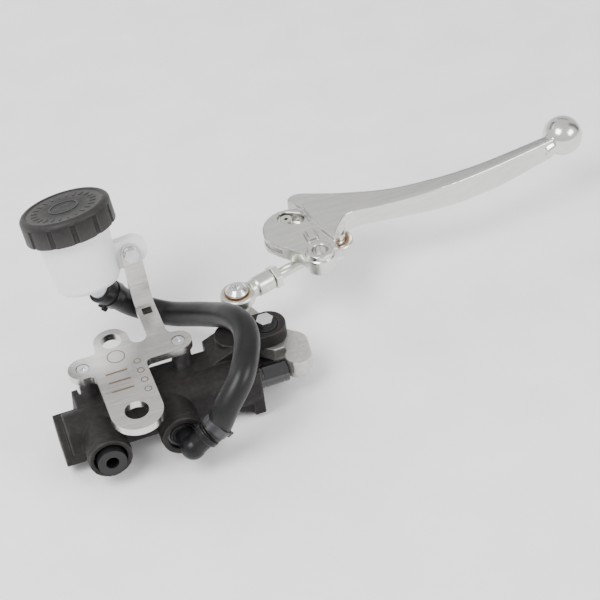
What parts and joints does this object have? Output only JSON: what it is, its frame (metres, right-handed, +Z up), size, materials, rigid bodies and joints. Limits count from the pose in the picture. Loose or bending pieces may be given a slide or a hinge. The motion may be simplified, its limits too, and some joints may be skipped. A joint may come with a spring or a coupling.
{
  "type": "brake master cylinder",
  "caption": "Handlebar headset brake master cylinder with bracket, remote reservoir, feed hose, rocker, adjustable pull rod and ball-ended lever.",
  "frame": {"origin": "centre of the bracket's front mounting hole on the plate's top face", "axes": "+X along the bore toward the lever, +Y from the front hole toward the rear hole and reservoir, +Z up along the plate's normal"},
  "size_m": [0.3195, 0.1402, 0.1017],
  "materials": {
    "stainless": "brushed",
    "bright_steel": "bright zinc plate",
    "black_casting": "matte black coated aluminium casting",
    "black_plastic": "satin",
    "seal_rubber": "moulded",
    "spring_steel": "phosphated",
    "black_anodised": "gloss black anodised",
    "cast_aluminium": "satin cast",
    "bronze": "sintered bronze",
    "zinc_steel": "dull zinc plate",
    "polished_aluminium": "polished",
    "milky_plastic": "translucent",
    "cap_plastic": "textured",
    "white_plastic": "satin",
    "hose_rubber": "satin"
  },
  "bodies": {
    "cylinder": {"bracket_plate": "stainless", "standoffs": "bright_steel", "standoff_screws": "bright_steel", "cylinder_body": "black_casting", "outlet_plug": "black_plastic", "inlet_elbow": "black_plastic", "inlet_seal": "seal_rubber", "inlet_circlip": "spring_steel", "piston_stop": "spring_steel", "rocker_bolt": "bright_steel", "rocker_washer": "black_plastic", "rocker_nut": "bright_steel", "reservoir": "milky_plastic", "reservoir_screw": "bright_steel", "reservoir_nut": "bright_steel", "feed_hose": "hose_rubber", "hose_clip_upper": "spring_steel", "hose_clip_lower": "spring_steel"},
    "piston_unit": {"piston": "black_anodised", "primary_cup": "seal_rubber", "secondary_seal": "seal_rubber", "spring_seat": "bright_steel"},
    "spring": {"return_spring": "spring_steel"},
    "rocker_unit": {"rocker": "cast_aluminium", "rocker_bush": "bronze", "eye1_screw": "bright_steel", "eye1_spacer": "zinc_steel", "eye1_ball": "bright_steel"},
    "pull_rod": {"eye1_housing": "zinc_steel", "eye1_liner": "bronze", "rod_nut": "zinc_steel", "eye2_housing": "zinc_steel", "eye2_liner": "bronze"},
    "lever_unit": {"lever": "polished_aluminium", "eye2_ball": "bright_steel", "eye2_bolt": "bright_steel", "eye2_washer": "bright_steel", "cable_barrel": "zinc_steel"},
    "cap_seals": {"slip_disc": "white_plastic", "diaphragm": "seal_rubber"},
    "cap": {"reservoir_cap": "cap_plastic"}
  },
  "joints": [
    {"name": "rocker_pivot", "type": "hinge", "parent": "cylinder", "child": "rocker_unit", "pos_m": [0.0775, 0.0425, -0.022], "axis": [0, 0, 1], "range_deg": [-12, 0], "stiffness_Nm_per_rad": 0.8, "springref_deg": 5.73},
    {"name": "piston_slide", "type": "slide", "parent": "cylinder", "child": "piston_unit", "axis": [1, 0, 0], "range_m": [-0.0043, 0]},
    {"name": "spring_slide", "type": "slide", "parent": "cylinder", "child": "spring", "axis": [1, 0, 0], "range_m": [-0.0022, 0]},
    {"name": "rod_swing", "type": "hinge", "parent": "rocker_unit", "child": "pull_rod", "pos_m": [0.0705, 0.066, -0.008], "axis": [0, 0, 1], "range_deg": [0, 4]},
    {"name": "lever_swing", "type": "hinge", "parent": "pull_rod", "child": "lever_unit", "pos_m": [0.1314, 0.0841, -0.008], "axis": [0, 0, 1], "range_deg": [-17.5, 0]},
    {"name": "cap_lift", "type": "slide", "parent": "cylinder", "child": "cap_seals", "axis": [-0.0698, 0.3083, 0.9487], "range_m": [0, 0.0091]},
    {"name": "cap_turn", "type": "hinge", "parent": "cap_seals", "child": "cap", "pos_m": [-0.00219, 0.09761, 0.04437], "axis": [-0.0698, 0.3083, 0.9487], "range_deg": [0, 1080]}
  ],
  "couplings": [
    {"joint": "piston_slide", "follows": "rocker_pivot", "m_per_rad": 0.02005},
    {"joint": "spring_slide", "follows": "rocker_pivot", "m_per_rad": 0.010025},
    {"joint": "rod_swing", "follows": "rocker_pivot", "ratio": -0.3},
    {"joint": "lever_swing", "follows": "rocker_pivot", "ratio": 1.41},
    {"joint": "cap_lift", "follows": "cap_turn", "m_per_rad": 0.00047746}
  ]
}
